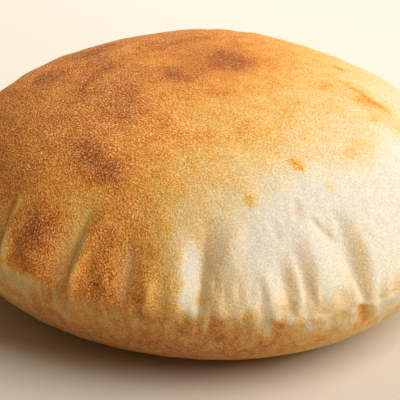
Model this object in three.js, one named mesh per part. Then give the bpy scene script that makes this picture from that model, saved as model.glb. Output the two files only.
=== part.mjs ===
// Puffed pita bread, whole, as it leaves a hot oven: one closed body that rests on a flat foot.
// Millimetres, +Z up, origin under the middle of its outline. Azimuth 0 is the front, at -Y, and grows
// towards +X.
import * as THREE from "three";

const { degToRad, radToDeg, smoothstep } = THREE.MathUtils;

// Driving sizes
const rimRadius = 85; // from the axis to the crease where the upper and the lower skin meet
const rimHeight = 34; // of the crease over the table
const crownHeight = 80; // of the top over the table
const footRadius = 41; // of the flat spot that it rests on
const crownLean = 8.5; // the top sits this far towards +X

// Side view: one curve from the foot out to the crease, one from the crease up to the crown
const bellyTuck = degToRad(19); // how far each curve leans in from upright at the crease
const domeTuck = degToRad(10);
const bellyPull = 19.5; // how far each curve holds its direction, at the crease and at its other end
const footPull = 21.5;
const domePull = 27;
const crownPull = 56;

// Plan view: nearly round, longest on a slant
const ovalShare = 0.06;
const ovalAzimuth = degToRad(57);
const cornerShare = 0.014;
const cornerAzimuth = degToRad(54);

// The edge: the crease wanders up and down and is rounded off, the upper skin rolls over it and the lower
// skin tucks in under it
const rimWander = 1.2;
const rimSpread = 18;
const rollHeight = 0.5;
const rollClimb = 4.5;
const tuckDepth = 0.2;
const tuckClimb = -4;
const edgeSpread = 3.5;
const edgeRounding = 3;
const edgeSlope = Math.tan((bellyTuck + domeTuck) / 2);

// Across a fold: a valley, and beyond each wall a rounded lip that the gathered skin makes
const valleyPower = 1.4; // 1 is a knife cut, 2 a round hollow
const lipHeight = 0.25; // as a share of the depth; its place and spread are in widths of the wall
const lipPlace = 1.75;
const lipSpread = 0.8;

// Along a fold, in shares of its way: it widens by the opening and deepens and fades over the other two
const foldOpening = 0.8;
const foldEntry = 0.24;
const foldFade = 0.55;

// Soft unevenness of the puffed upper skin
const swellHeight = 0.5;
const swellPitch = 21;

// Mesh fineness
const segments = 208;
const frontCrowding = 0.35; // segments are this share narrower at the front, where the finest folds are
const bellyRings = 9;
const domeRings = 19;
const ringGrading = 1.4; // above 1, rings lie closer together near the crease

const bellyCurve = new THREE.CubicBezierCurve(
  new THREE.Vector2(footRadius, 0),
  new THREE.Vector2(footRadius + footPull, 0),
  new THREE.Vector2(rimRadius - bellyPull * Math.sin(bellyTuck), rimHeight - bellyPull * Math.cos(bellyTuck)),
  new THREE.Vector2(rimRadius, rimHeight),
);
const domeCurve = new THREE.CubicBezierCurve(
  new THREE.Vector2(rimRadius, rimHeight),
  new THREE.Vector2(rimRadius - domePull * Math.sin(domeTuck), rimHeight + domePull * Math.cos(domeTuck)),
  new THREE.Vector2(crownPull, crownHeight),
  new THREE.Vector2(0, crownHeight),
);

// Park-Miller random numbers, 0 to 1, the same on every run
function seededRandom(seed) {
  let state = seed;
  return () => {
    state = (state * 16807) % 2147483647;
    return state / 2147483647;
  };
}

const bump = (x) => Math.exp(-x * x);
const smooth = (x) => smoothstep(x, 0, 1);

// Folds gather the upper skin at the crease and run up the dome. Climb is the way up along the skin from the
// crease, and is negative under it. Each fold runs from an azimuth and climb to another, and has the widths
// of its left and right wall and its depth, all in degrees and millimetres.
const fold = (azimuthFrom, climbFrom, azimuthTo, climbTo, left, right, depth) => ({
  azimuthFrom,
  climbFrom,
  azimuthTo,
  climbTo,
  left,
  right,
  depth,
});

const frontFolds = [
  fold(-51, -6, -55.5, 32, 4.5, 2.4, 2.4),
  fold(-33.8, -7, -31, 36, 5.2, 2.2, 2.3),
  fold(-16.8, -5, -18.7, 30, 3.4, 2.9, 1.6),
  fold(-0.7, -5, -1.4, 33.5, 3.4, 2.8, 3.3),
  fold(18.8, -3, 14.1, 23, 2.4, 2.2, 2),
  fold(22.6, -5, 17.2, 28.5, 2.3, 2.2, 1.4),
  fold(25.2, -3.5, 23.4, 10, 2.2, 2.5, 1.6),
  fold(33.4, -4.5, 28.6, 34.5, 4, 2.2, 2.8),
  fold(41.2, -3.5, 39.7, 10.5, 2.2, 2.2, 1.5),
  fold(45, -4, 43.5, 18, 3, 2.2, 1.3),
];

// Round the sides and the back a wide fold is followed by one or two narrow ones
const sideFoldSeed = 4127;
const sideFoldsFrom = 52;
const sideFoldsTo = 300;
const foldTail = 8; // they begin this far under the crease

function sideFolds() {
  const random = seededRandom(sideFoldSeed);
  const between = (low, high) => low + (high - low) * random();
  const found = [];
  let azimuth = sideFoldsFrom;
  while (azimuth < sideFoldsTo) {
    const wall = between(3, 5);
    const steepWall = between(2.2, 3);
    const walls = random() < 0.5 ? [steepWall, wall] : [wall, steepWall];
    const azimuthTo = azimuth + between(-4, 4);
    found.push(fold(azimuth, -foldTail, azimuthTo, between(26, 42), ...walls, between(2, 3.4)));
    const narrowOnes = random() < 0.5 ? 1 : 2;
    for (let n = 0; n < narrowOnes; n += 1) {
      azimuth += between(5, 7.5);
      const width = between(2.2, 2.7);
      const narrowTo = azimuth + between(-2, 2);
      found.push(fold(azimuth, -foldTail, narrowTo, between(9, 20), width, width, between(0.9, 1.5)));
    }
    azimuth += between(6.5, 10);
  }
  return found;
}

const folds = [...frontFolds, ...sideFolds()];

// Height of a fold's section, as a share of its depth, at a place across it in widths of the wall there
const foldSection = (across) =>
  lipHeight * bump((across - lipPlace) / lipSpread) - Math.exp(-(across ** valleyPower));

// How far folds raise the skin
function foldRelief(azimuthDeg, climb, radius) {
  let relief = 0;
  for (const { azimuthFrom, climbFrom, azimuthTo, climbTo, left, right, depth } of folds) {
    const rise = (climb - climbFrom) / (climbTo - climbFrom);
    if (rise <= 0 || rise >= 1) continue;
    let turn = azimuthDeg - azimuthFrom - (azimuthTo - azimuthFrom) * rise;
    turn -= 360 * Math.round(turn / 360);
    const off = (degToRad(turn) * radius) / (1 + foldOpening * rise);
    const along = smooth(rise / foldEntry) * smooth((1 - rise) / foldFade);
    relief += depth * along * foldSection(off > 0 ? off / right : -off / left);
  }
  return relief;
}

const edgeRelief = (climb) =>
  rollHeight * bump((climb - rollClimb) / edgeSpread) -
  tuckDepth * bump((climb - tuckClimb) / edgeSpread) -
  edgeSlope * (Math.hypot(climb, edgeRounding) - Math.abs(climb));

const rimLift = (azimuth, climb) =>
  rimWander * (Math.sin(3 * azimuth - 2.88) + 0.6 * Math.sin(7 * azimuth + 1.48)) * bump(climb / rimSpread);

// Slow swells, fading out under the crease
function swellRelief(x, y, climb) {
  const u = x / swellPitch;
  const v = y / swellPitch;
  const broad = Math.sin(u + 0.6 * v + 1.2) * Math.cos(0.8 * v - 0.5 * u);
  const narrow = Math.sin(1.7 * u - 1.1 * v + 4);
  return swellHeight * (broad + 0.6 * narrow) * smooth((climb + 30) / 40);
}

const planFactor = (azimuth) =>
  1 +
  ovalShare * Math.cos(2 * (azimuth - ovalAzimuth)) +
  cornerShare * Math.cos(3 * (azimuth - cornerAzimuth));

// Rings of the side view, from the middle of the foot up to the crown, each with the way out of the skin
function sideRings() {
  const bellyLength = bellyCurve.getLength();
  const domeLength = domeCurve.getLength();
  const rings = [{ radius: 0, height: 0, climb: -bellyLength - footRadius, outward: 0, upward: -1 }];
  const addRing = (curve, share, climb) => {
    const point = curve.getPointAt(share);
    const along = curve.getTangentAt(share);
    rings.push({ radius: point.x, height: point.y, climb, outward: along.y, upward: -along.x });
  };
  for (let n = bellyRings; n > 0; n -= 1) {
    const share = (n / bellyRings) ** ringGrading;
    addRing(bellyCurve, 1 - share, -share * bellyLength);
  }
  for (let n = 0; n <= domeRings; n += 1) {
    const share = (n / domeRings) ** ringGrading;
    addRing(domeCurve, share, share * domeLength);
  }
  rings[rings.length - 1].radius = 0;
  return rings;
}

// A point of the skin; the relief dies away within a few millimetres of the table, so that the foot is flat
const footClearance = 6;

function skinPoint({ radius, height, climb, outward, upward }, azimuth) {
  const x = radius * Math.sin(azimuth);
  const y = -radius * Math.cos(azimuth);
  const relief =
    smooth(height / footClearance) *
    (foldRelief(radToDeg(azimuth), climb, radius) + edgeRelief(climb) + swellRelief(x, y, climb));
  const plan = (radius + relief * outward) * planFactor(azimuth);
  const z = height + relief * upward + rimLift(azimuth, climb);
  const lean = (crownLean * z) / crownHeight;
  return new THREE.Vector3(plan * Math.sin(azimuth) + lean, -plan * Math.cos(azimuth), z);
}

// A lathe of the rings, each vertex then moved out to the uneven skin
function pitaGeometry() {
  const rings = sideRings();
  const outline = rings.map(({ radius, height }) => new THREE.Vector2(radius, height));
  const geometry = new THREE.LatheGeometry(outline, segments);
  const position = geometry.getAttribute("position");
  for (let s = 0; s <= segments; s += 1) {
    const turn = (2 * Math.PI * (s % segments)) / segments;
    const azimuth = turn - frontCrowding * Math.sin(turn);
    rings.forEach((ring, r) => {
      const point = skinPoint(ring, azimuth);
      position.setXYZ(s * rings.length + r, point.x, point.y, point.z);
    });
  }
  geometry.computeBoundingBox();
  const { min, max } = geometry.boundingBox;
  geometry.translate(-(min.x + max.x) / 2, -(min.y + max.y) / 2, -min.z);
  geometry.computeVertexNormals();
  return geometry;
}

const crust = new THREE.MeshStandardMaterial({ color: 0xd9a45e, roughness: 0.7, metalness: 0 });

const pita = new THREE.Group();
const bread = new THREE.Mesh(pitaGeometry(), crust);
bread.name = "pita_bread";
pita.add(bread);

export default pita;
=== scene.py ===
import math
from bisect import bisect_right

import bmesh
import bpy
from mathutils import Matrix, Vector, noise
from mathutils.geometry import interpolate_bezier


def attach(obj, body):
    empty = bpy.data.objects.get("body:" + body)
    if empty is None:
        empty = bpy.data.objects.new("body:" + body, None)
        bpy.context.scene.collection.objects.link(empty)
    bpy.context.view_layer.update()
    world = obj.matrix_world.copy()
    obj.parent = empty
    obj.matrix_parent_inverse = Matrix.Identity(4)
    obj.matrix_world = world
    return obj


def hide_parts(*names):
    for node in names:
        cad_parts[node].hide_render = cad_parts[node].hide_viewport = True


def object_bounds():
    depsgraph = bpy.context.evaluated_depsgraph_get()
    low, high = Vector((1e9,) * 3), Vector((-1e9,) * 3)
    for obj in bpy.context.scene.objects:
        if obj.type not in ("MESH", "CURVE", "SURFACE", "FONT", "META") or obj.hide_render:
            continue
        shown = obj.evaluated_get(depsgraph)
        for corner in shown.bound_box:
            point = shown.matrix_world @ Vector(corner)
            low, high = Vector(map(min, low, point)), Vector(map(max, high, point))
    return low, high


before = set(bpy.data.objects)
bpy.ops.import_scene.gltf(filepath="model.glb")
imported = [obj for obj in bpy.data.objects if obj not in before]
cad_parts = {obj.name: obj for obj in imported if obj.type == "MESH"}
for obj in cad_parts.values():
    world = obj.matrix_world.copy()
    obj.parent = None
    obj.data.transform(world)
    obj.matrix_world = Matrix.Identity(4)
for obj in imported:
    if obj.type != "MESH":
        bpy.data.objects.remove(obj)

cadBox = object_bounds()
mm = 0.001

# The puffed bread, in millimetres and degrees. Azimuth 0 is the front and grows to the right; climb is the
# way up along the skin from the crease, and is negative under it.
pita = {
    # side line
    "rimRadius": 85,
    "rimHeight": 34,
    "crownHeight": 80,
    "footRadius": 41,
    "crownLean": 8.5,  # the top sits this far to the right
    "bellyTuck": 19,  # how far the side leans in at the crease, under it and over it
    "domeTuck": 10,
    "bellyPull": 19.5,
    "footPull": 21.5,
    "domePull": 27,
    "crownPull": 56,
    "lineSteps": 300,
    "turnSteps": 8,  # the way out turns over this many steps on either side of the crease
    "footSteps": 60,
    # plan
    "ovalShare": 0.06,
    "ovalAzimuth": 57,
    "cornerShare": 0.014,
    "cornerAzimuth": 54,
    # edge
    "rimWander": 1.2,  # the crease runs up and down by this
    "rimWaves": [(3, -2.88, 1), (7, 1.48, 0.6)],  # how many waves round the edge, their phase and share
    "rimSpread": 18,
    "rollHeight": 0.5,
    "rollClimb": 4.5,
    "tuckDepth": 0.2,
    "tuckClimb": -4,
    "edgeSpread": 3.5,
    "edgeRounding": 3,
    "edgeAngle": 14.5,  # half the turn that the side line takes at the crease
    "footClearance": 6,  # relief dies away this close to the table
    # skin
    "swellHeight": 0.5,
    "swellPitch": 21,
    "swellNarrow": 0.6,  # how high the narrow swells are, as a share of the broad ones
    "swellReach": 30,  # they begin this far under the crease and are full after the rise
    "swellRise": 40,
    "blisterHeight": 0.3,
    "blisterPitch": 6.5,
    "wrinkleHeight": 0.35,
    "wrinklePitch": 2.4,
    "wrinkleStretch": 7,  # wrinkles are this many times as long as they are wide
    "wrinkleReach": 17,
    # folds, each from an azimuth and climb to another, and the width of its left and right wall and its depth
    "frontFolds": [
        (-51, -6, -55.5, 32, 4.5, 2.4, 2.4),
        (-46.5, -3, -47, 10, 2, 2, 0.7),
        (-33.8, -7, -31, 36, 5.2, 2.2, 2.3),
        (-16.8, -5, -18.7, 30, 3.4, 2.9, 1.6),
        (-0.7, -5, -1.4, 33.5, 3.4, 2.8, 3.3),
        (18.8, -3, 14.1, 23, 2.4, 1.5, 2),
        (22.6, -5, 17.2, 28.5, 2.3, 2, 1.4),
        (25.2, -3.5, 23.4, 10, 1.5, 2.5, 1.6),
        (33.4, -4.5, 28.6, 34.5, 4, 2.2, 2.8),
        (37.9, -3, 36, 10, 1.6, 1.7, 1.2),
        (41.2, -3.5, 39.7, 10.5, 1.8, 2, 1.5),
        (45, -4, 43.5, 18, 3, 2, 1.3),
    ],
    "fineFolds": [  # a negative depth is a ridge
        (-49, -4, -52.4, 28, 1.2, 1.3, -1),
        (-43.4, -2, -43, 8, 1.6, 1.4, 0.5),
        (-30.3, -10, -30, 25, 1.1, 1.5, -1.3),
        (-32.3, -8, -32, 17, 0.9, 1, 0.7),
        (-31.8, -2, -33, -13, 1.4, 1.2, 0.6),
        (-24.6, -2, -25.2, 10, 2, 1.8, 0.5),
        (-13.4, -6, -14, 4, 1.9, 1.5, 1.2),
        (-12.6, -3.3, -11.8, 11.3, 1.4, 1.1, -0.8),
        (-9, -2, -9.5, 9, 1.6, 1.2, 0.3),
        (-3.8, 4, -2.9, -14, 1.4, 1, 0.4),
        (-0.2, -14, -1.2, 16, 0.8, 0.9, 0.8),
        (-0.1, 5, 0.9, -10, 0.9, 1.3, -0.7),
        (0.8, 15, 5.2, -3, 1.9, 1.8, 0.7),
        (0.9, 3.5, 2.5, -16.5, 1.3, 1.6, 0.9),
        (3.5, 17, 4.4, -1, 1.9, 2, 0.8),
        (6.9, -1, 8, -13.5, 1.2, 1.3, 0.4),
        (8.5, 4, 8.9, -7, 0.9, 0.9, 0.5),
        (9.6, 14.5, 14.2, -3, 2.1, 1.6, 0.35),
        (10.7, 8, 15.1, -13, 1, 1.1, 0.4),
        (13.3, 1.5, 19.4, -18, 2.2, 1.3, 0.8),
        (16, 4.5, 16.6, -6, 0.8, 0.9, 1),
        (22.9, 30, 28.2, 16.7, 2.1, 1.4, 0.5),
        (26.7, 31, 27.5, 21, 0.9, 0.9, 0.5),
        (28.5, 32, 32, 19.6, 1.2, 1.2, 0.45),
        (23.4, 29.5, 29.8, 18.5, 1.1, 0.7, 0.9),
        (33.4, -2, 29.2, 15, 1.9, 0.9, -1.3),
        (25.9, 0, 29.7, -16, 2.1, 1.2, 0.6),
        (27.1, 9, 29.2, -9, 1.6, 2.4, 1.5),
        (29.9, 12.5, 31.2, 1, 1.3, 1, 0.6),
        (32.2, 2, 38.6, -17, 1.8, 1.6, 1.2),
        (20.9, 36, 20.2, 26, 0.7, 0.8, 0.5),
        (15.6, 22, 13.6, 31, 0.8, 0.7, 0.4),
        (20.4, 3, 17.6, 20, 0.8, 0.7, -0.6),
        (24.1, 1, 21.2, 17, 0.8, 0.9, -0.6),
        (27.6, 1, 26.6, 12, 0.9, 0.8, -0.5),
        (7.2, 2, 6.4, 13, 0.9, 1, 0.45),
        (12.2, 3, 10.4, 18, 0.9, 1, 0.4),
        (36.6, 16, 34.2, 27, 0.9, 0.8, 0.45),
    ],
    # folds round the sides and the back, each number between a low and a high
    "foldSeed": 4127,
    "sideFoldsFrom": 52,
    "sideFoldsTo": 300,
    "foldTail": 8,  # they begin this far under the crease
    "wideWall": (3, 5),
    "wideSteepWall": (2.2, 3),
    "wideSlant": (-4, 4),
    "wideEnd": (26, 42),
    "wideDepth": (2, 3.4),
    "wideGap": (6.5, 10),
    "narrowWall": (2.2, 2.7),
    "narrowSlant": (-2, 2),
    "narrowEnd": (9, 20),
    "narrowDepth": (0.9, 1.5),
    "narrowGap": (5, 7.5),
    # every fold
    "foldOpening": 0.8,  # a fold widens by this share on its way
    "foldEntry": 0.24,  # share of its way on which it deepens
    "foldFade": 0.55,
    "foldReach": 4,  # it ends this many walls away from its middle
    "valleyPower": 1.4,  # 1 is a knife cut, 2 a round hollow
    "lipHeight": 0.25,  # as a share of the depth; its place and spread are in walls
    "lipPlace": 1.75,
    "lipSpread": 0.8,
    # painted shade: where on a fold's right wall its tan shade is painted, and how far it spreads, in walls
    "foldShadePlace": 1.05,
    "foldShadeSpread": 0.75,
    "fullDepth": 1.6,  # shallower folds colour the skin less
    # browning, 0 is pale dough, 0.5 golden and 1 dark: palest at one place, browner all round it
    "paleAzimuth": 73,
    "paleHalfAngle": 77,
    "paleReach": 71,
    "paleFrom": 0.057,  # browning begins and ends this far away, in half angles or reaches
    "paleTo": 2,
    "brownest": 0.83,
    # browning of the band under the crease
    "bandBake": 0.46,
    "bandFront": (-5, 36, 0.09),  # azimuth, half angle and how much browner
    "bandSide": (48, 26, -0.32),
    "bandDeep": 0.16,  # how much browner towards the foot
    "bandDepth": 22,
    "bandReach": 70,  # what the front and the side change is gone this far under the crease
    "bandFade": 35,
    "bandEdge": 3,  # its upper edge is this soft and wanders by this
    "bandWander": 4.5,
    "bandWanderPitch": 4.5,
    "drift": 2.5,  # the browning's outlines wander by this
    "driftPitch": 6,
    "driftGap": 50,  # so that they wander another way along each axis
    "driftRadius": 20,  # nearer to the crown than this, they turn no further
    "patchReach": 60,  # so that a patch doesn't show on the far side of the bread
    "patchEdge": 15,
    "patches": [  # azimuth, climb, width, height and how much browner
        (-54, 0, 12, 25, -0.19),
        (-48, 80, 4.3, 4.2, -0.17),
        (-60, 90, 6, 3, 0.25),
        (-97, 87, 9, 5, -0.12),
        (-108, 67, 10, 7, 0.09),
        (-152, 83, 8, 5, 0.14),
        (-120, 72, 9, 4, -0.1),
        (-123, 58, 6, 5, 0.4),
        (-100, 51.5, 6, 4, 0.28),
        (-98, 71, 7, 3, 0.15),
        (-75, 62, 6, 4, 0.15),
        (80, 62, 3, 5, 0.15),
        (-43, 15, 6.5, 11, 0.29),
        (-42, 29, 4, 5, -0.1),
        (-44, -3, 8, 4, -0.18),
        (-41, 43.5, 7, 3.8, 0.3),
        (-32, 39, 6, 4.2, 0.38),
        (-28.5, 30, 2.6, 8, 0.14),
        (-31, 33, 4, 5, -0.1),
        (-27.5, 14, 7, 17, -0.11),
        (-57, 26, 6, 11, 0.11),
        (-35, 27, 5.7, 5, -0.17),
        (-33, 12, 5, 8.8, -0.16),
        (-24, -10, 13, 9, -0.19),
        (-13, 9, 5, 5, 0.06),
        (-23, 3.5, 5.5, 4.2, 0.12),
        (-10.5, 18, 4, 6, -0.1),
        (-6.5, 30.5, 5, 4, -0.08),
        (7, 49, 6, 4, -0.08),
        (-13.5, 1, 1.8, 3.5, 0.3),
        (-24, 15, 4, 7, 0.12),
        (-46, 62, 7, 5, 0.14),
        (-58, 71, 6, 4, 0.15),
        (47, 47.5, 6, 3.5, 0.14),
        (62, 43, 16, 8, 0.08),
        (2, 15, 6, 12, -0.06),
        (-21, 63, 5.6, 5.5, 0.15),
        (-21, 7.5, 17.5, 18.5, 0.25),
        (-18, 9, 4.5, 5.5, -0.23),
        (-15, 72, 16, 25, -0.14),
        (-8, 60, 6, 4.4, 0.14),
        (3.7, -9.4, 3, 4.6, 0.1),
        (26, 24, 31, 19, -0.45),
        # painted shade: browner in the shaded right wall of the big fold on the right
        (33.2, 19, 2.8, 12.6, 0.06),
        (32.8, -2.6, 1.2, 2.4, 0.3),
        (30.5, 8, 3, 5, -0.1),
        (45, -4, 20, 13, 0.03),
        (40, -15, 20, 8, 0.06),
        (18, -19, 18, 6, 0.08),
        # painted light: paler here to offset the shade on a fold's left wall
        (-6, 24, 4, 7, -0.06),
        (57, 35, 8.4, 12.4, -0.21),
        (114, 99, 7.5, 8.5, 0.4),
        (162, 98.5, 3.5, 3.5, 0.15),
        (-164, 87, 8, 6, -0.1),
        (75, 80, 24, 16, 0.02),
        (46, 78, 14, 7, -0.05),
        (33, 66, 8, 8, -0.06),
        (71, 56, 4.3, 6.7, 0.21),
        # small marks
        (14, 62, 5, 3, 0.1),
        (25, 63, 4, 3, 0.1),
        (42.2, 46, 2.5, 2.5, 0.15),
        (37, 69, 3, 4, 0.12),
        (69, 71, 2.2, 2.2, 0.2),
        (81.5, 67.5, 1.5, 1.5, 0.2),
        (100, 63, 1.5, 2.4, 0.35),
        (70.5, 60, 1.6, 1.4, 0.2),
        (63.5, 53, 1.6, 1.4, 0.15),
        (0, 84, 6, 3, 0.14),
        (-21, 33, 3, 3, 0.12),
    ],
    "strokeEntry": 0.2,  # shares of its way on which a stroke comes and goes
    "strokeFade": 0.35,
    "strokes": [  # from an azimuth and climb to another, half width and how much browner
        (-48.8, -2, -52.2, 30, 1.4, -0.33),
        (-74, 61, -99, 72.5, 2, 0.25),
        (70.8, 48, 78, 67, 1.7, 0.24),
        (26.8, 44, 23.7, 50.5, 1.3, 0.5),
        (31.2, 34.8, 30.2, 40, 1.1, 0.4),
        (9.2, 32, 8.2, 38, 1.5, 0.28),
        (20.9, 33.5, 20.4, 28, 0.8, 0.35),
        (-30.4, -8, -30, 26, 1.5, -0.2),
        (-33.3, -4, -31, 32, 2.4, -0.15),
        (-2, -6, -4.6, 25, 3, -0.55),
        (-12.5, -3, -11.6, 14, 1.8, -0.15),
        (-39, -6, -41, -20, 3, 0.16),
        (-3, -1, -2.4, -14, 1.5, 0.15),
        (0.8, 2, 1.1, -10, 1, -0.2),
        (3, 0, 4.6, -15, 1.8, 0.1),
        (7, -1, 8, -12, 1.2, -0.1),
        (11.5, 0, 14.5, -11, 1.5, -0.12),
        (15.2, 0, 18.5, -14, 1.3, 0.12),
        (20.8, 2, 22.5, -8, 1.2, -0.1),
        (25, 2, 28, -10, 1.4, -0.12),
        (33, 1, 38, -14, 1.8, 0.3),
        (36, 2, 41, -12, 1.4, -0.1),
    ],
    # mesh
    "meshCuts": 99,  # 6 x 100 x 100 quads
    "frontCrowding": 0.3,  # faces are this share narrower at the front
    "creaseCrowding": 0.35,  # and lower near the crease
    "splitBand": (-0.62, 0.3),  # cube heights between which each face is split in two across
}


# 0 up to 0, 1 from 1 on and a soft rise between them
def smooth(x):
    x = min(max(x, 0), 1)
    return x * x * (3 - 2 * x)


# 1 at 0, and almost nothing from 2 on
def hump(x):
    return math.exp(-x * x)


# an angle taken the short way round, -180 to 180
def shortWay(degrees):
    return degrees - 360 * round(degrees / 360)


# Park and Miller's random numbers, 0 to 1, the same on every run
def seededRandom(seed):
    state = seed
    while True:
        state = state * 16807 % 2147483647
        yield state / 2147483647


# round the sides and the back a wide fold is followed by one or two narrow ones
def sideFolds():
    draw = seededRandom(pita["foldSeed"])

    def drawn(name):
        low, high = pita[name]
        return low + (high - low) * next(draw)

    found = []
    tail = -pita["foldTail"]
    azimuth = pita["sideFoldsFrom"]
    while azimuth < pita["sideFoldsTo"]:
        left = drawn("wideWall")
        right = drawn("wideSteepWall")
        if next(draw) < 0.5:
            left, right = right, left
        azimuthTo = azimuth + drawn("wideSlant")
        found.append((azimuth, tail, azimuthTo, drawn("wideEnd"), left, right, drawn("wideDepth")))
        for n in range(1 if next(draw) < 0.5 else 2):
            azimuth += drawn("narrowGap")
            wall = drawn("narrowWall")
            azimuthTo = azimuth + drawn("narrowSlant")
            found.append((azimuth, tail, azimuthTo, drawn("narrowEnd"), wall, wall, drawn("narrowDepth")))
        azimuth += drawn("wideGap")
    return found


allFolds = pita["frontFolds"] + pita["fineFolds"] + sideFolds()


# relief, how deep in a fold, and how near the middle of a fold's right wall, where the shade on pale dough is
# painted tan
def foldsAt(degrees, climb, radius):
    relief = furrow = tan = 0
    for azimuthFrom, climbFrom, azimuthTo, climbTo, left, right, depth in allFolds:
        rise = (climb - climbFrom) / (climbTo - climbFrom)
        if not 0 < rise < 1:
            continue
        turn = shortWay(degrees - azimuthFrom - (azimuthTo - azimuthFrom) * rise)
        across = math.radians(turn) * radius / (1 + pita["foldOpening"] * rise)
        side = across / right if across > 0 else across / left
        share = abs(side)
        if share > pita["foldReach"]:
            continue
        along = smooth(rise / pita["foldEntry"]) * smooth((1 - rise) / pita["foldFade"])
        valley = math.exp(-(share ** pita["valleyPower"]))
        lip = pita["lipHeight"] * hump((share - pita["lipPlace"]) / pita["lipSpread"])
        relief += depth * along * (lip - valley)
        furrow = max(furrow, valley * along * min(abs(depth) / pita["fullDepth"], 1))
        # painted shade: the right wall of a fold lies in shade, so it is painted tan
        rightWall = hump((side - pita["foldShadePlace"]) / pita["foldShadeSpread"])
        tan = max(tan, rightWall * along * min(depth / pita["fullDepth"], 1))
    return relief, furrow, tan


# the upper skin rolls over the crease, the lower skin tucks in under it, and the crease is rounded off
def edgeAt(climb):
    roll = pita["rollHeight"] * hump((climb - pita["rollClimb"]) / pita["edgeSpread"])
    tuck = pita["tuckDepth"] * hump((climb - pita["tuckClimb"]) / pita["edgeSpread"])
    inset = math.hypot(climb, pita["edgeRounding"]) - abs(climb)
    return roll - tuck - math.tan(math.radians(pita["edgeAngle"])) * inset


# slow swells, their waves turned to one another so that they don't line up
def swellAt(x, y, climb):
    u = x / pita["swellPitch"]
    v = y / pita["swellPitch"]
    broad = math.sin(u + 0.6 * v + 1.2) * math.cos(0.8 * v - 0.5 * u)
    narrow = math.sin(1.7 * u - 1.1 * v + 4)
    waves = broad + pita["swellNarrow"] * narrow
    return pita["swellHeight"] * waves * smooth((climb + pita["swellReach"]) / pita["swellRise"])


# small lumps all over, and creases that run up and down near the edge
def unevennessAt(x, y, z, climb):
    lumps = pita["blisterHeight"] * noise.noise(Vector((x, y, z)) / pita["blisterPitch"])
    place = Vector((x, y, climb / pita["wrinkleStretch"])) / pita["wrinklePitch"]
    return lumps + pita["wrinkleHeight"] * noise.noise(place) * hump(climb / pita["wrinkleReach"])


# crown down to the middle of the foot: radius, height, climb, way out and the share of the area above
def sideLine():
    rim = Vector((pita["rimRadius"], pita["rimHeight"]))
    crown = Vector((0, pita["crownHeight"]))
    foot = Vector((pita["footRadius"], 0))
    domeTuck = math.radians(pita["domeTuck"])
    bellyTuck = math.radians(pita["bellyTuck"])
    domeHold = pita["domePull"] * Vector((-math.sin(domeTuck), math.cos(domeTuck)))
    bellyHold = pita["bellyPull"] * Vector((-math.sin(bellyTuck), -math.cos(bellyTuck)))
    steps = pita["lineSteps"]
    dome = interpolate_bezier(crown, crown + Vector((pita["crownPull"], 0)), rim + domeHold, rim, steps)
    belly = interpolate_bezier(rim, rim + bellyHold, foot + Vector((pita["footPull"], 0)), foot, steps)
    points = dome + belly[1:]
    points += [foot * (1 - n / pita["footSteps"]) for n in range(1, pita["footSteps"] + 1)]
    rows = []
    length = area = 0
    for n, point in enumerate(points):
        if n:
            step = (point - points[n - 1]).length
            length += step
            area += step * (point.x + points[n - 1].x) / 2
        ahead = points[min(n + pita["turnSteps"], len(points) - 1)] - points[max(n - pita["turnSteps"], 0)]
        ahead.normalize()
        rows.append([point.x, point.y, length, -ahead.y, ahead.x, area])
    atCrease = rows[steps - 1][2]
    for row in rows:
        row[2] = atCrease - row[2]
        row[5] /= area
    return rows, rows[steps - 1][5]


line, domeShare = sideLine()
depths = [-row[2] for row in line]
areas = [row[5] for row in line]
print(f"side line: {line[0][2]:.1f} mm from the crease to the crown, dome {domeShare:.2f} of the skin")


# radius, height, climb and way out where the given column of the line reaches the given value
def stationAt(column, value):
    n = min(max(bisect_right(column, value), 1), len(line) - 1)
    span = column[n] - column[n - 1]
    share = min(max((value - column[n - 1]) / span, 0), 1) if span else 0
    return [a + (b - a) * share for a, b in zip(line[n - 1][:5], line[n][:5])]


# the plan is nearly round, longest on a slant and a little three-cornered
def planFactor(degrees):
    oval = pita["ovalShare"] * math.cos(2 * math.radians(degrees - pita["ovalAzimuth"]))
    corner = pita["cornerShare"] * math.cos(3 * math.radians(degrees - pita["cornerAzimuth"]))
    return 1 + oval + corner


# where the skin is, how deep in a fold and how much painted tan shade it takes
def skinPoint(degrees, station):
    radius, height, climb, outward, upward = station
    azimuth = math.radians(degrees)
    x = radius * math.sin(azimuth)
    y = -radius * math.cos(azimuth)
    foldRelief, furrow, tan = foldsAt(degrees, climb, radius)
    relief = foldRelief + edgeAt(climb) + swellAt(x, y, climb) + unevennessAt(x, y, height, climb)
    relief *= smooth(height / pita["footClearance"])
    plan = (radius + relief * outward) * planFactor(degrees)
    wander = sum(share * math.sin(waves * azimuth + phase) for waves, phase, share in pita["rimWaves"])
    z = height + relief * upward + pita["rimWander"] * wander * hump(climb / pita["rimSpread"])
    lean = pita["crownLean"] * z / pita["crownHeight"]
    return Vector((plan * math.sin(azimuth) + lean, -plan * math.cos(azimuth), z)), furrow, tan


# the same place on a round bread without relief, for the browning
def roundPoint(degrees, climb):
    radius, height = stationAt(depths, -climb)[:2]
    azimuth = math.radians(degrees)
    return Vector((radius * math.sin(azimuth), -radius * math.cos(azimuth), height))


# each patch's middle, and its directions divided by its width and height
def placePatches():
    placed = []
    for azimuth, climb, width, height, change in pita["patches"]:
        middle = roundPoint(azimuth, climb)
        along = (roundPoint(azimuth, climb + 1) - middle).normalized() / height
        turn = math.radians(azimuth)
        across = Vector((math.cos(turn), math.sin(turn), 0)) / width
        placed.append((middle, across, along, change))
    return placed


patches = placePatches()


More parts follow.
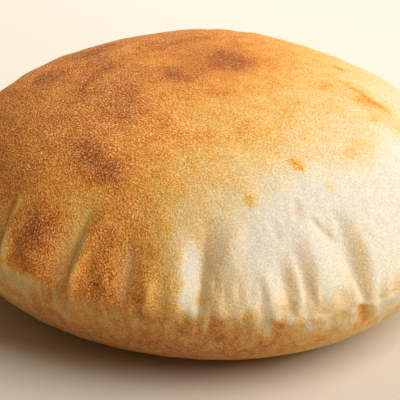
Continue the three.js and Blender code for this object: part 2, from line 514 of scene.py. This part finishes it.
# the band under the crease takes over from the browning above it
def banded(bake, degrees, climb, place):
    band = pita["bandBake"] + pita["bandDeep"] * smooth(-climb / pita["bandDepth"])
    fade = smooth((pita["bandReach"] + climb) / pita["bandFade"])
    for azimuth, halfAngle, change in (pita["bandFront"], pita["bandSide"]):
        band += change * hump(shortWay(degrees - azimuth) / halfAngle) * fade
    wander = noise.noise(Vector((place.x, place.y, 0)) / pita["bandWanderPitch"]) * pita["bandWander"]
    return bake + (band - bake) * smooth((wander - climb) / pita["bandEdge"])


def patched(bake, place):
    for middle, across, along, change in patches:
        offset = place - middle
        strength = math.exp(-offset.dot(across) ** 2 - offset.dot(along) ** 2)
        bake += change * strength * smooth((pita["patchReach"] - offset.length) / pita["patchEdge"])
    return bake


def stroked(bake, degrees, climb, radius):
    for azimuthFrom, climbFrom, azimuthTo, climbTo, halfWidth, change in pita["strokes"]:
        rise = (climb - climbFrom) / (climbTo - climbFrom)
        if not 0 < rise < 1:
            continue
        turn = shortWay(degrees - azimuthFrom - (azimuthTo - azimuthFrom) * rise)
        across = math.radians(turn) * radius
        stroke = change * hump(across / halfWidth) * smooth(rise / pita["strokeEntry"])
        bake += stroke * smooth((1 - rise) / pita["strokeFade"])
    return bake


# how brown the skin is; what is drawn on it wanders, but strokes not up and down
def bakeAt(degrees, radius, climb):
    place = roundPoint(degrees, climb)
    spots = [place / pita["driftPitch"] + Vector((0, 0, pita["driftGap"] * n)) for n in range(3)]
    drift = Vector([noise.noise(spot) for spot in spots]) * pita["drift"]
    degrees += math.degrees(drift.x / max(radius, pita["driftRadius"]))
    driftedClimb = climb + drift.z
    side = shortWay(degrees - pita["paleAzimuth"]) / pita["paleHalfAngle"]
    away = math.hypot(side, max(driftedClimb, 0) / pita["paleReach"])
    bake = pita["brownest"] * smooth((away - pita["paleFrom"]) / (pita["paleTo"] - pita["paleFrom"]))
    bake = banded(bake, degrees, driftedClimb, place)
    bake = patched(bake, place + drift)
    bake = stroked(bake, degrees, climb, radius)
    return max(bake, 0)


# a finished mesh becomes an object of the scene
def makeObject(name, bm):
    mesh = bpy.data.meshes.new(name)
    bm.to_mesh(mesh)
    bm.free()
    made = bpy.data.objects.new(name, mesh)
    bpy.context.scene.collection.objects.link(made)
    return made


# a new material and its shader
def makePaint(name):
    paint = bpy.data.materials.new(name)
    paint.use_nodes = True
    return paint, paint.node_tree.nodes["Principled BSDF"]


# a cube of square faces, narrower ones in the band of the folds
def makeCube():
    bm = bmesh.new()
    bmesh.ops.create_cube(bm, size=2)
    bmesh.ops.subdivide_edges(bm, edges=bm.edges, cuts=pita["meshCuts"], use_grid_fill=True)
    splitFrom, splitTo = pita["splitBand"]
    heights = [(edge, edge.verts[0].co.z, edge.verts[1].co.z) for edge in bm.edges]
    level = [edge for edge, one, other in heights if one == other and splitFrom < one < splitTo]
    bmesh.ops.subdivide_edges(bm, edges=level, cuts=1)
    return bm


# the cube is blown up to a ball, and the ball is laid over the side line
def shapeSkin(bm):
    layers = {name: bm.verts.layers.float.new(name) for name in ("climb", "furrow", "tan", "bake")}
    crowding = pita["creaseCrowding"] / math.tau
    for vert in bm.verts:
        ball = Vector([math.tan(c * math.pi / 4) for c in vert.co]).normalized()
        turn = math.atan2(ball.x, -ball.y)
        degrees = math.degrees(turn - pita["frontCrowding"] * math.sin(turn))
        above = (1 - ball.z) / 2  # share of the ball's area, then shifted towards the crease
        above -= crowding * (math.sin(math.tau * (above - domeShare)) + math.sin(math.tau * domeShare))
        station = stationAt(areas, above)
        radius, climb = station[0], station[2]
        point, furrow, tan = skinPoint(degrees, station)
        vert.co = point * mm
        vert[layers["climb"]] = climb
        vert[layers["furrow"]] = furrow
        # painted shade: the tan painted on the shaded walls of folds
        vert[layers["tan"]] = tan
        vert[layers["bake"]] = bakeAt(degrees, radius, climb)
    for face in bm.faces:
        face.smooth = True


# moves the skin to the middle of the CAD box, and gives back its size and how far it was moved
def settle(bm):
    places = [vert.co for vert in bm.verts]
    low = Vector([min(place[n] for place in places) for n in range(3)])
    high = Vector([max(place[n] for place in places) for n in range(3)])
    middle = (cadBox[0] + cadBox[1]) / 2
    move = Vector((middle.x - (low.x + high.x) / 2, middle.y - (low.y + high.y) / 2, cadBox[0].z - low.z))
    bmesh.ops.translate(bm, verts=bm.verts, vec=move)
    shrink = [min((cadBox[1][n] - cadBox[0][n]) / (high[n] - low[n]), 1) for n in range(3)]
    bmesh.ops.scale(bm, verts=bm.verts, vec=shrink)  # the blisters lift the skin a little
    return high - low, move


def makeBread():
    bm = makeCube()
    shapeSkin(bm)
    size, move = settle(bm)
    triangles = sum(len(face.verts) - 2 for face in bm.faces)
    print(f"bread: {triangles} triangles, {size.x:.4f} x {size.y:.4f} x {size.z:.4f} m, moved by {move}")
    return makeObject("pitaCrust", bm), move


bread, axisPlace = makeBread()

# The crust, with sizes in metres
crust = {
    "colours": [  # how brown, from pale dough to dark
        (0.0, (0.825, 0.76, 0.62)),
        (0.12, (0.85, 0.725, 0.505)),
        (0.3, (0.87, 0.605, 0.275)),
        (0.45, (0.87, 0.49, 0.127)),
        (0.6, (0.85, 0.37, 0.066)),
        (0.7, (0.79, 0.295, 0.046)),
        (0.85, (0.62, 0.2, 0.035)),
        (1.0, (0.44, 0.125, 0.025)),
    ],
    # painted shade: the warm tan of the shaded walls of folds in pale dough
    "foldShadeColour": (0.81, 0.565, 0.28, 1),
    "furrowColour": (0.78, 0.49, 0.21, 1),
    # partly painted glint: the light colour of blisters, which also stands in for their highlights
    "speckGlintColour": (0.97, 0.63, 0.26, 1),
    "flourColour": (0.8, 0.75, 0.68, 1),
    # noises: size, detail and roughness
    "mottle": (0.014, 2, 0.5),
    "blotch": (0.0045, 3, 0.6),
    "grain": (0.00055, 2, 0.6),
    "streak": (0.0022, 2, 0.5),
    "streakSquash": (1, 1, 0.14),  # so that streaks run up and down
    "speckSize": 0.0008,
    "mottleChange": 0.16,  # how much browner and paler mottles and streaks make it
    "streakChange": 0.85,
    "flour": 0.07,  # share of flour in the colour of the lower skin
    "brightening": 1.5,  # a grain of strength 1 makes the colour this many times as bright
    # each of these goes from its third number to its fourth while what it follows goes from the first to
    # the second; climb is in millimetres, and the way to the right in metres
    "underByClimb": (-4, 1, 1, 0),
    "dotByDistance": (0.1, 0.5, 1, 0),
    # which blisters are light, as pale blisters and painted glints
    "speckGlintByCell": (0.4, 0.75, 0, 1),
    "speckGlintByBake": (0.05, 0.7, 0.1, 0.7),
    # browner in folds near the crease: partly a stain, partly painted warm shade
    "foldBrowningAndShadeByClimb": (14, 0, 0, 0.2),
    "blotchByBake": (0, 0.5, 0.1, 0.35),
    "blotchByClimb": (-6, 2, 0.45, 1),
    # painted shade: the lower skin is darker, most so on its left and near the foot
    "footShadeByClimb": (-8, -24, 0, 1),
    "footShadeByRight": (-0.04, 0.02, 0.2, 0.1),
    "underShadeByRight": (0.015, 0.045, 0.23, 0.08),
    # painted shade on fold walls: strong in pale dough, gone in browner crust
    "foldShadeByBake": (0.1, 0.4, 0.85, 0),
    "valleyByFurrow": (0.3, 1, 0, 1),
    "valleyByBake": (0.35, 0.55, 0, 0.5),
    "grainByBake": (0.1, 0.8, 1.2, 2.85),
    "grainByCrown": (70, 95, 1, 0.5),
    "grainByFurrow": (0.3, 1, 1, 0.75),
    "grainByUnder": (-6, 2, 0.75, 1),
    # painted shade: the top is a little darker
    "topShadeByClimb": (55, 80, 1, 0.95),
    "grainHeightByBake": (0, 0.6, 0.3, 0.5),
    "dotHeightByBake": (0.1, 0.7, 0.1, 0.5),
    # surface
    "roughness": 0.6,
    "gloss": 0.12,
    "refraction": 1.18,  # low, so that the edges of the bread don't shine
    "bumpHeight": 0.0005,
    "bumpStrength": 0.8,
    "blotchHeight": 1.2,  # in bump heights, as the heights of grains and dots above are
}


# The nodes of the crust; whatever adds one gives back the socket that comes out of it
class CrustNodes:
    def __init__(self, paint):
        self.nodes = paint.node_tree.nodes
        self.links = paint.node_tree.links
        self.place = self.nodes.new("ShaderNodeTexCoord").outputs["Object"]
        self.bake = self.attribute("bake")
        self.furrow = self.attribute("furrow")
        self.climb = self.attribute("climb")
        self.blotch = self.noiseOf("blotch", self.place)
        self.grain = self.noiseOf("grain", self.place)
        self.under = self.mapped(self.climb, "underByClimb")

    def attribute(self, name):
        node = self.nodes.new("ShaderNodeAttribute")
        node.attribute_name = name
        return node.outputs["Fac"]

    def noiseOf(self, name, source):
        size, detail, roughness = crust[name]
        node = self.nodes.new("ShaderNodeTexNoise")
        node.inputs["Scale"].default_value = 1 / size
        node.inputs["Detail"].default_value = detail
        node.inputs["Roughness"].default_value = roughness
        self.links.new(source, node.inputs["Vector"])
        return node.outputs["Fac"]

    def maths(self, operation, a, b, clamp=False):
        node = self.nodes.new("ShaderNodeMath")
        node.operation = operation
        node.use_clamp = clamp
        for socket, value in zip(node.inputs, (a, b)):
            if isinstance(value, (int, float)):
                socket.default_value = value
            else:
                self.links.new(value, socket)
        return node.outputs[0]

    def plus(self, a, b, clamp=False):
        return self.maths("ADD", a, b, clamp)

    def minus(self, a, b):
        return self.maths("SUBTRACT", a, b)

    def times(self, a, b):
        return self.maths("MULTIPLY", a, b)

    # a noise of 0 to 1 made to swing round 0
    def centred(self, source, amount=1):
        return self.times(self.minus(source, 0.5), amount)

    def mapped(self, source, name):
        node = self.nodes.new("ShaderNodeMapRange")
        self.links.new(source, node.inputs["Value"])
        for socket, value in zip(("From Min", "From Max", "To Min", "To Max"), crust[name]):
            node.inputs[socket].default_value = value
        return node.outputs["Result"]

    def mixed(self, factor, base, colour):
        node = self.nodes.new("ShaderNodeMix")
        node.data_type = "RGBA"
        self.links.new(factor, node.inputs["Factor"])
        self.links.new(base, node.inputs[6])  # A and B of a colour mix, and its result
        node.inputs[7].default_value = colour
        return node.outputs[2]


# how brown: what the mesh says, browner in folds near the crease (partly a stain, partly painted warm shade),
# and the noises
def brownness(add):
    # partly painted shade: folds near the crease are browner
    foldBrowningAndShade = add.times(add.furrow, add.mapped(add.climb, "foldBrowningAndShadeByClimb"))
    mottles = add.centred(add.noiseOf("mottle", add.place), crust["mottleChange"])
    blotches = add.times(add.centred(add.blotch), add.mapped(add.bake, "blotchByBake"))
    blotches = add.times(blotches, add.mapped(add.climb, "blotchByClimb"))
    squash = add.nodes.new("ShaderNodeMapping")
    squash.inputs["Scale"].default_value = crust["streakSquash"]
    add.links.new(add.place, squash.inputs["Vector"])
    streak = add.noiseOf("streak", squash.outputs["Vector"])
    streaks = add.times(add.centred(streak, crust["streakChange"]), add.under)
    level = add.plus(add.plus(add.bake, foldBrowningAndShade), mottles)
    return add.plus(add.plus(level, blotches), streaks, clamp=True)


# the colour for that, with some flour on the lower skin
def bakedColour(add):
    ramp = add.nodes.new("ShaderNodeValToRGB")
    stops = ramp.color_ramp.elements
    while len(stops) < len(crust["colours"]):
        stops.new(0.5)
    for stop, (position, colour) in zip(stops, crust["colours"]):
        stop.position = position
        stop.color = (*colour, 1)
    add.links.new(brownness(add), ramp.inputs["Fac"])
    return add.mixed(add.times(add.under, crust["flour"]), ramp.outputs["Color"], crust["flourColour"])


# painted shade: the shaded right walls of folds in pale dough are painted tan; folds in brown crust are less
# baked
def foldColour(add, colour):
    foldShade = add.times(add.attribute("tan"), add.mapped(add.bake, "foldShadeByBake"))
    colour = add.mixed(foldShade, colour, crust["foldShadeColour"])
    valley = add.times(add.mapped(add.furrow, "valleyByFurrow"), add.mapped(add.bake, "valleyByBake"))
    return add.mixed(valley, colour, crust["furrowColour"])


# painted shade: the top is a little darker, and the lower skin is darker, most so on the left and near the
# foot, where less light reaches it
def paintedShadeOf(add):
    axes = add.nodes.new("ShaderNodeSeparateXYZ")
    add.links.new(add.place, axes.inputs["Vector"])
    toRight = axes.outputs["X"]
    footShade = add.times(add.mapped(add.climb, "footShadeByClimb"), add.mapped(toRight, "footShadeByRight"))
    paintedUnderShade = add.times(add.under, add.plus(add.mapped(toRight, "underShadeByRight"), footShade))
    return add.times(add.mapped(add.climb, "topShadeByClimb"), add.minus(1, paintedUnderShade))


# the browner the crust, the stronger its grain, but the top, the folds and the lower skin are smoother;
# light grains are also less red
def grainColour(add, colour):
    strength = add.times(add.mapped(add.bake, "grainByBake"), add.mapped(add.climb, "grainByCrown"))
    strength = add.times(strength, add.mapped(add.furrow, "grainByFurrow"))
    strength = add.times(strength, add.mapped(add.climb, "grainByUnder"))
    light = add.times(add.centred(add.grain), strength)
    fade = add.nodes.new("ShaderNodeGamma")
    add.links.new(colour, fade.inputs["Color"])
    add.links.new(add.minus(1, light), fade.inputs["Gamma"])
    lighten = add.nodes.new("ShaderNodeVectorMath")
    lighten.operation = "SCALE"
    add.links.new(fade.outputs["Color"], lighten.inputs[0])
    # the painted shade of the top and the lower skin darkens the colour here
    brightness = add.times(paintedShadeOf(add), add.maths("POWER", crust["brightening"], light))
    add.links.new(brightness, lighten.inputs["Scale"])
    return lighten.outputs[0]


# tiny blisters, some of them light, partly pale blisters and partly painted glints: how high each is and how
# light
def specksAndGlintsOf(add):
    cells = add.nodes.new("ShaderNodeTexVoronoi")
    cells.inputs["Scale"].default_value = 1 / crust["speckSize"]
    add.links.new(add.place, cells.inputs["Vector"])
    dot = add.mapped(cells.outputs["Distance"], "dotByDistance")
    speckGlint = add.times(dot, add.mapped(cells.outputs["Color"], "speckGlintByCell"))
    return dot, add.times(speckGlint, add.mapped(add.bake, "speckGlintByBake"))


def bumpsOf(add, dot):
    height = add.times(add.grain, add.mapped(add.bake, "grainHeightByBake"))
    height = add.plus(height, add.times(add.blotch, crust["blotchHeight"]))
    height = add.plus(height, add.times(dot, add.mapped(add.bake, "dotHeightByBake")))
    bump = add.nodes.new("ShaderNodeBump")
    bump.inputs["Strength"].default_value = crust["bumpStrength"]
    bump.inputs["Distance"].default_value = crust["bumpHeight"]
    add.links.new(height, bump.inputs["Height"])
    return bump.outputs["Normal"]


def makeCrust():
    paint, shader = makePaint("bakedCrust")
    shader.inputs["Roughness"].default_value = crust["roughness"]
    shader.inputs["Specular IOR Level"].default_value = crust["gloss"]
    shader.inputs["IOR"].default_value = crust["refraction"]
    add = CrustNodes(paint)
    colour = grainColour(add, foldColour(add, bakedColour(add)))
    dot, speckGlint = specksAndGlintsOf(add)
    add.links.new(add.mixed(speckGlint, colour, crust["speckGlintColour"]), shader.inputs["Base Color"])
    add.links.new(bumpsOf(add, dot), shader.inputs["Normal"])
    print(f"crust: {len(add.nodes)} nodes")
    return paint


bread.data.materials.append(makeCrust())

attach(bread, "root")
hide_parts("pita_bread")

# Table and lamps, in metres
studio = {
    "tableSize": 4,
    "tableColour": (0.82, 0.75, 0.64, 1),
    "tableRoughness": 0.8,
    "skyColour": (1, 0.74, 0.44, 1),
    "skyStrength": 0.14,
    "lamps": [  # name, azimuth, elevation, size and power
        ("backLamp", 178, 40, 0.6, 6),
        ("sideLamp", 55, 48, 0.6, 7.1),
    ],
    "lampDistance": 0.9,
    "lampColour": (1, 0.99, 0.97),
}


# the direction in which a lamp or the camera stands
def wayFrom(azimuth, elevation):
    turn = math.radians(azimuth)
    rise = math.radians(elevation)
    across = math.cos(rise)
    return Vector((math.sin(turn) * across, -math.cos(turn) * across, math.sin(rise)))


def makeTable():
    bm = bmesh.new()
    bmesh.ops.create_grid(bm, x_segments=1, y_segments=1, size=studio["tableSize"] / 2)
    table = makeObject("table", bm)
    paint, shader = makePaint("tablePaint")
    shader.inputs["Base Color"].default_value = studio["tableColour"]
    shader.inputs["Roughness"].default_value = studio["tableRoughness"]
    table.data.materials.append(paint)


def makeLight():
    sky = bpy.data.worlds.new("sky")
    sky.use_nodes = True
    background = sky.node_tree.nodes["Background"]
    background.inputs["Color"].default_value = studio["skyColour"]
    background.inputs["Strength"].default_value = studio["skyStrength"]
    bpy.context.scene.world = sky
    for name, azimuth, elevation, size, power in studio["lamps"]:
        lamp = bpy.data.lights.new(name, "AREA")
        lamp.size = size
        lamp.energy = power
        lamp.color = studio["lampColour"]
        lampObject = bpy.data.objects.new(name, lamp)
        lampObject.location = wayFrom(azimuth, elevation) * studio["lampDistance"]
        lampObject.rotation_euler = (-lampObject.location).to_track_quat("-Z", "Y").to_euler()
        bpy.context.scene.collection.objects.link(lampObject)
    print(f"studio: sky and {len(studio['lamps'])} lamps")


# Camera, in metres, degrees and pixels of a picture 400 wide
view = {
    "elevation": 26,
    "distance": 0.595,
    "focalPixels": 1790,
    "pictureWidth": 400,
    "sensorWidth": 36,  # in millimetres
    "targetHeight": 0.03825,  # the point on the bread's axis that falls on targetPixel
    "targetPixel": (190.1, 180),
}


def makeCamera():
    camera = bpy.data.objects.new("camera", bpy.data.cameras.new("camera"))
    camera.data.sensor_width = view["sensorWidth"]
    camera.data.lens = view["focalPixels"] / view["pictureWidth"] * view["sensorWidth"]
    target = axisPlace + Vector((0, 0, view["targetHeight"]))
    back = wayFrom(0, view["elevation"])
    camera.location = target + back * view["distance"]
    middle = view["pictureWidth"] / 2
    metresPerPixel = view["distance"] / view["focalPixels"]
    right = Vector((1, 0, 0))
    aim = target + right * (middle - view["targetPixel"][0]) * metresPerPixel
    aim -= back.cross(right) * (middle - view["targetPixel"][1]) * metresPerPixel
    camera.rotation_euler = (aim - camera.location).to_track_quat("-Z", "Y").to_euler()
    bpy.context.scene.collection.objects.link(camera)
    bpy.context.scene.camera = camera
    print(f"camera: {camera.data.lens:.0f} mm lens, {view['distance']} m from the bread")


makeTable()
makeLight()
makeCamera()
bpy.context.scene.view_settings.view_transform = "Standard"
